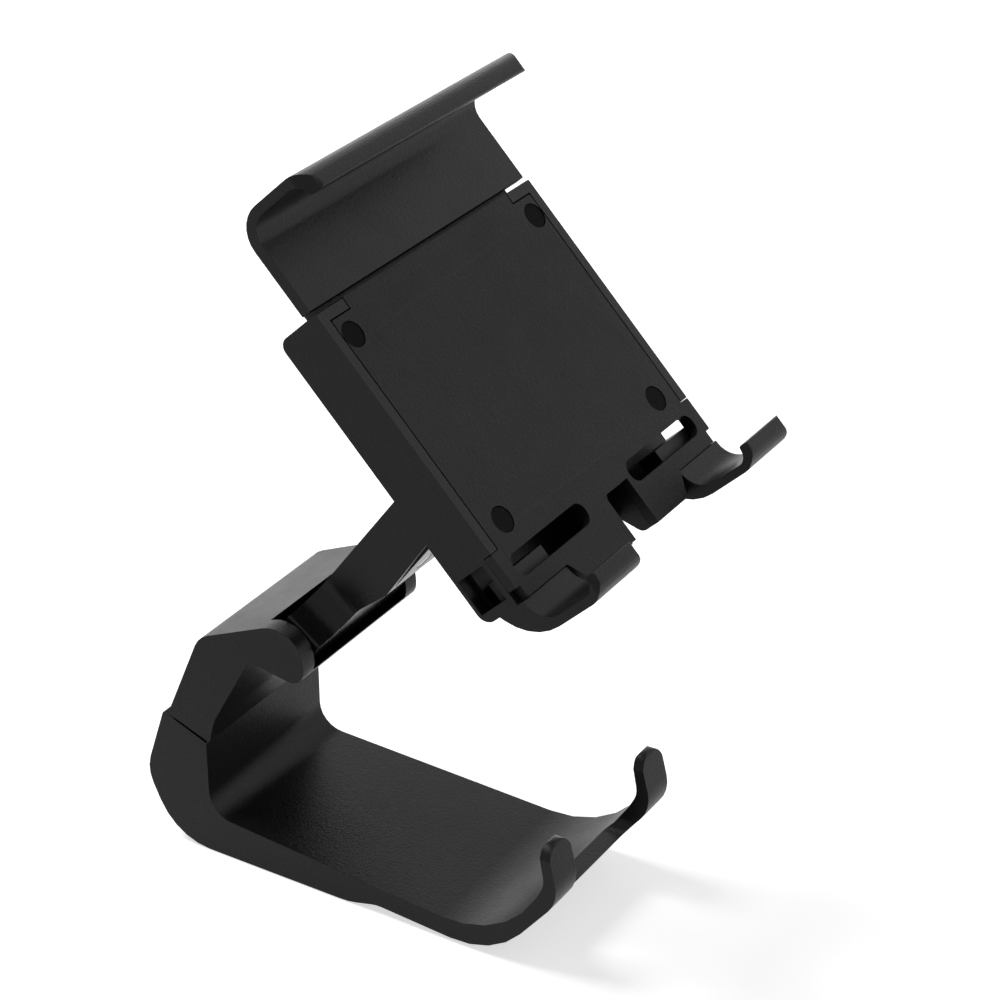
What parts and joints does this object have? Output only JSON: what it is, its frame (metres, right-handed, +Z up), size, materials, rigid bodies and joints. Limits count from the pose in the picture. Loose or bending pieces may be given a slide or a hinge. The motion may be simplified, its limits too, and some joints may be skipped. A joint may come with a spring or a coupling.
{
  "type": "spring-clip controller holder",
  "caption": "Spring clip that grips a game controller, with a hinged arm and a tilting cradle whose sprung top jaw holds a handheld screen above it.",
  "frame": {"origin": "middle of the flat foot under the clip, on the ground", "axes": "+X across the width, -Y to the player and the clip's prongs, +Z up"},
  "size_m": [0.0762, 0.1182, 0.168],
  "materials": {
    "black_plastic": "fine spark texture, matte",
    "panel_plastic": "fine spark texture, matte",
    "arm_plastic": "smooth satin",
    "soft_rubber": "dull",
    "pin_steel": "ground",
    "spring_steel": "drawn wire",
    "screw_steel": "zinc plated"
  },
  "bodies": {
    "clip": {"clip_body": "black_plastic", "body_spring_pin": "pin_steel", "clip_spring_left": "spring_steel", "clip_spring_right": "spring_steel"},
    "jaw": {"clip_jaw": "black_plastic", "jaw_spring_pin": "pin_steel", "root_hinge_pin": "pin_steel", "root_pin_cap": "black_plastic", "root_washer_left": "spring_steel", "root_washer_right": "spring_steel"},
    "arm": {"arm_shell": "arm_plastic", "arm_cover": "arm_plastic", "arm_screws": "screw_steel"},
    "cradle": {"rear_housing": "black_plastic", "front_panel": "panel_plastic", "panel_screws": "screw_steel", "plug_top_left": "soft_rubber", "plug_top_right": "soft_rubber", "plug_low_left": "soft_rubber", "plug_low_right": "soft_rubber", "tilt_bolt": "screw_steel", "tilt_nut": "screw_steel", "tilt_washer_left": "spring_steel", "tilt_washer_right": "spring_steel", "grip_spring_left": "spring_steel", "grip_spring_right": "spring_steel"},
    "grip": {"top_jaw": "black_plastic"}
  },
  "joints": [
    {"name": "clip_slide", "type": "slide", "parent": "clip", "child": "jaw", "axis": [0, -0.3584, 0.9336], "range_m": [0, 0.01], "stiffness_N_per_m": 600, "springref_m": -0.01, "deforming": ["clip_spring_left", "clip_spring_right"]},
    {"name": "root_hinge", "type": "hinge", "parent": "jaw", "child": "arm", "pos_m": [0, -0.0023, 0.0544], "axis": [1, 0, 0], "range_deg": [-33, 40]},
    {"name": "cradle_hinge", "type": "hinge", "parent": "arm", "child": "cradle", "pos_m": [0, -0.03715, 0.10168], "axis": [1, 0, 0], "range_deg": [-40, 50]},
    {"name": "grip_slide", "type": "slide", "parent": "cradle", "child": "grip", "axis": [0, 0.6871, 0.7266], "range_m": [0, 0.016], "stiffness_N_per_m": 400, "springref_m": -0.012, "deforming": ["grip_spring_left", "grip_spring_right"]}
  ]
}
